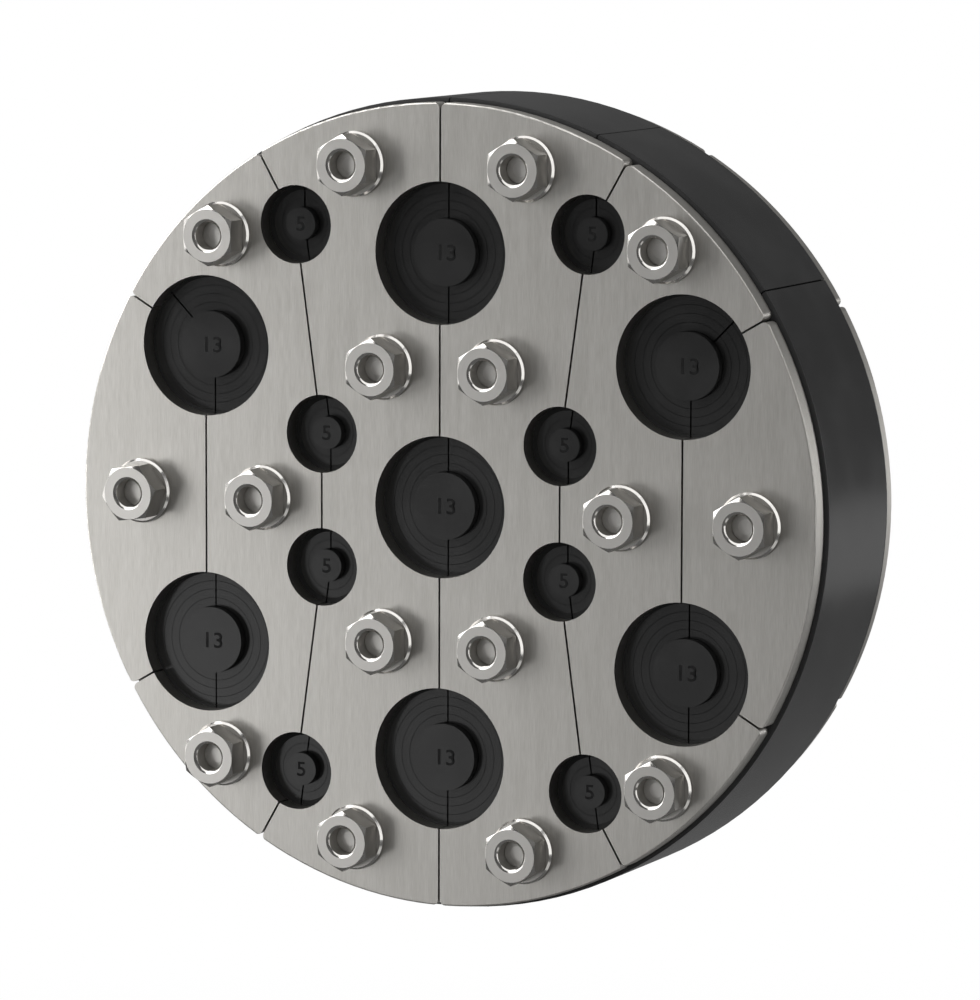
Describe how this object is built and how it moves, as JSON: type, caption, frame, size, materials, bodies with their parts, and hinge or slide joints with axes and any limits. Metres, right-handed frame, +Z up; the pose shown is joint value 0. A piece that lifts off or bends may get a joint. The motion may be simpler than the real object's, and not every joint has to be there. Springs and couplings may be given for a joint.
{
  "type": "annular gap seal",
  "caption": "Round split press seal with stainless pressure plates, black rubber body with peel-off ring inserts and blind plugs, clamped by through bolts.",
  "frame": {"origin": "middle of the rubber body, on its axis", "axes": "+Y along the seal's axis, from the nut side to the bolt heads; +Z up, +X right seen from the nut side"},
  "size_m": [0.198, 0.065, 0.198],
  "materials": {
    "plate_steel": "stainless sheet brushed along its height, rounded rim edge",
    "fastener_steel": "plain stainless, satin",
    "body_rubber": "smooth black moulded rubber, semi matt",
    "ring_rubber": "black rubber cut in thin rings",
    "plug_rubber": "black rubber, matt, size number on the end"
  },
  "bodies": {
    "root": {"front_plate_centre_left": "plate_steel", "front_plate_centre_right": "plate_steel", "front_plate_middle_left": "plate_steel", "front_plate_middle_right": "plate_steel", "front_plate_outer_left": "plate_steel", "front_plate_outer_right": "plate_steel", "front_washers": "fastener_steel", "hex_bolts": "fastener_steel", "hex_nuts": "fastener_steel", "large_plug_bottom": "plug_rubber", "large_plug_centre": "plug_rubber", "large_plug_lower_left": "plug_rubber", "large_plug_lower_right": "plug_rubber", "large_plug_top": "plug_rubber", "large_plug_upper_left": "plug_rubber", "large_plug_upper_right": "plug_rubber", "large_rings_bottom": "ring_rubber", "large_rings_centre": "ring_rubber", "large_rings_lower_left": "ring_rubber", "large_rings_lower_right": "ring_rubber", "large_rings_top": "ring_rubber", "large_rings_upper_left": "ring_rubber", "large_rings_upper_right": "ring_rubber", "rear_plate_centre_left": "plate_steel", "rear_plate_centre_right": "plate_steel", "rear_plate_middle_left": "plate_steel", "rear_plate_middle_right": "plate_steel", "rear_plate_outer_left": "plate_steel", "rear_plate_outer_right": "plate_steel", "rear_washers": "fastener_steel", "rubber_body": "body_rubber", "small_plug_inner_lower_left": "plug_rubber", "small_plug_inner_lower_right": "plug_rubber", "small_plug_inner_upper_left": "plug_rubber", "small_plug_inner_upper_right": "plug_rubber", "small_plug_outer_lower_left": "plug_rubber", "small_plug_outer_lower_right": "plug_rubber", "small_plug_outer_upper_left": "plug_rubber", "small_plug_outer_upper_right": "plug_rubber", "small_rings_inner_lower_left": "ring_rubber", "small_rings_inner_lower_right": "ring_rubber", "small_rings_inner_upper_left": "ring_rubber", "small_rings_inner_upper_right": "ring_rubber", "small_rings_outer_lower_left": "ring_rubber", "small_rings_outer_lower_right": "ring_rubber", "small_rings_outer_upper_left": "ring_rubber", "small_rings_outer_upper_right": "ring_rubber"}
  },
  "joints": []
}
